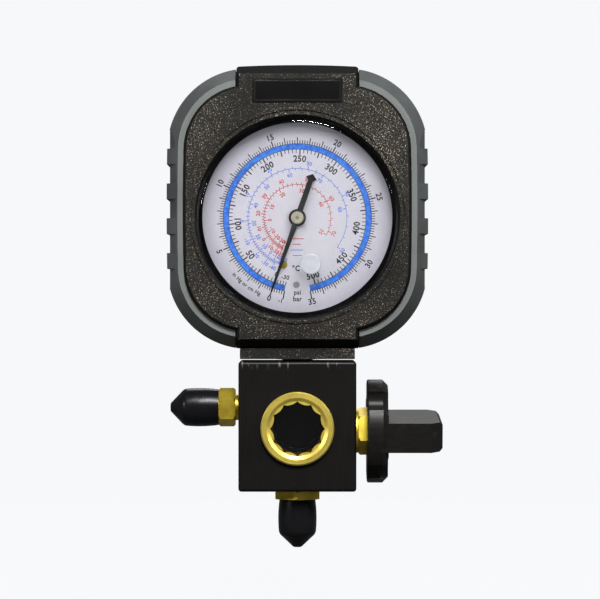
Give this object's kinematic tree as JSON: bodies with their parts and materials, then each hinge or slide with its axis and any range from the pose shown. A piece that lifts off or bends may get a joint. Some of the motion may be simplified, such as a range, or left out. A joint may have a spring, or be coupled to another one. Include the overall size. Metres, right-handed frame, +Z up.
{
  "type": "refrigerant manifold gauge",
  "caption": "Refrigerant manifold with a compound pressure gauge in a rubber-edged housing, a sight glass, a hand valve and capped flare hose ports.",
  "frame": {"origin": "centre of the housing's flat back, straight behind the pointer's axis", "axes": "-Y is the way the dial faces, +Z is up from the ports to the gauge, +X points to the valve knob"},
  "size_m": [0.1054, 0.0409, 0.185],
  "materials": {
    "housing_plastic": "fine sparkled texture",
    "bumper_rubber": "soft grey, satin",
    "badge_gloss": "glossy black",
    "case_black": "satin black",
    "seal_rubber": "matt black",
    "red_rubber": "satin red",
    "lens_clear": "clear polycarbonate",
    "sight_glass_clear": "clear glass",
    "dial_enamel": "matt white with printed scales",
    "brass": "machined, bright",
    "steel": "bright",
    "anodised_block": "black anodised, fine milling",
    "white_plastic": "white, smooth",
    "knob_plastic": "black, satin",
    "pointer_black": "matt black",
    "cap_nickel": "polished",
    "cap_rubber": "glossy black"
  },
  "bodies": {
    "manifold": {"front_housing": "housing_plastic", "rear_housing": "housing_plastic", "housing_screws": "steel", "left_bumper": "bumper_rubber", "right_bumper": "bumper_rubber", "badge_plate": "badge_gloss", "gauge_case": "case_black", "lens_gasket": "seal_rubber", "gauge_lens": "lens_clear", "dial_plate": "dial_enamel", "dial_post": "brass", "dial_screw": "steel", "movement_front_plate": "brass", "movement_rear_plate": "brass", "movement_pillars": "brass", "movement_screws": "steel", "hairspring": "steel", "gauge_socket": "brass", "bourdon_tube": "brass", "tube_end": "brass", "stem_nut": "case_black", "stem_seal": "red_rubber", "manifold_block": "anodised_block", "sight_glass_ring": "brass", "sight_glass": "sight_glass_clear", "sight_glass_seal": "seal_rubber", "left_port_fitting": "brass", "bottom_port_fitting": "brass", "bonnet_washer": "brass", "valve_bonnet": "brass"},
    "valve_disc": {"valve_disc": "white_plastic"},
    "valve_spindle": {"valve_stem": "brass", "stem_o_rings": "seal_rubber", "valve_knob": "knob_plastic", "knob_screw": "steel"},
    "pointer": {"pinion_arbor": "steel", "pointer": "pointer_black", "pointer_cap": "cap_nickel"},
    "sector": {"sector_gear": "brass", "sector_arbor": "steel", "link_pin": "steel"},
    "link": {"tube_link": "brass"},
    "left_cap": {"left_port_cap": "cap_rubber"},
    "bottom_cap": {"bottom_port_cap": "cap_rubber"},
    "lens_plug": {"lens_plug": "white_plastic"},
    "zero_screw": {"zero_screw": "brass"}
  },
  "joints": [
    {"name": "valve_lift", "type": "slide", "parent": "manifold", "child": "valve_disc", "axis": [1, 0, 0], "range_m": [0, 0.002]},
    {"name": "valve_turn", "type": "hinge", "parent": "valve_disc", "child": "valve_spindle", "pos_m": [0.03, -0.021, -0.082], "axis": [1, 0, 0], "range_deg": [0, 720]},
    {"name": "pointer_swing", "type": "hinge", "parent": "manifold", "child": "pointer", "pos_m": [0, -0.0328, 0], "axis": [0, 1, 0], "range_deg": [-9.44, 330.56]},
    {"name": "sector_swing", "type": "hinge", "parent": "manifold", "child": "sector", "pos_m": [0.01009, -0.0276, -0.01442], "axis": [0, 1, 0], "range_deg": [-33.2, 1]},
    {"name": "link_swing", "type": "hinge", "parent": "sector", "child": "link", "pos_m": [0.01609, -0.0256, -0.01421], "axis": [0, 1, 0], "range_deg": [-1.5, 50.6]},
    {"name": "left_cap_pull", "type": "slide", "parent": "manifold", "child": "left_cap", "axis": [-1, 0, 0], "range_m": [0, 0.025]},
    {"name": "bottom_cap_pull", "type": "slide", "parent": "manifold", "child": "bottom_cap", "axis": [0, 0, -1], "range_m": [0, 0.025]},
    {"name": "lens_plug_pull", "type": "slide", "parent": "manifold", "child": "lens_plug", "axis": [0, -1, 0], "range_m": [0, 0.006]},
    {"name": "zero_screw_turn", "type": "hinge", "parent": "manifold", "child": "zero_screw", "pos_m": [-0.0053, -0.0316, -0.0179], "axis": [0, -1, 0], "range_deg": [-180, 180]}
  ],
  "couplings": [
    {"joint": "valve_lift", "follows": "valve_turn", "m_per_rad": 0.00015915},
    {"joint": "sector_swing", "follows": "pointer_swing", "ratio": -0.1},
    {"joint": "link_swing", "follows": "pointer_swing", "ratio": 0.1525}
  ]
}
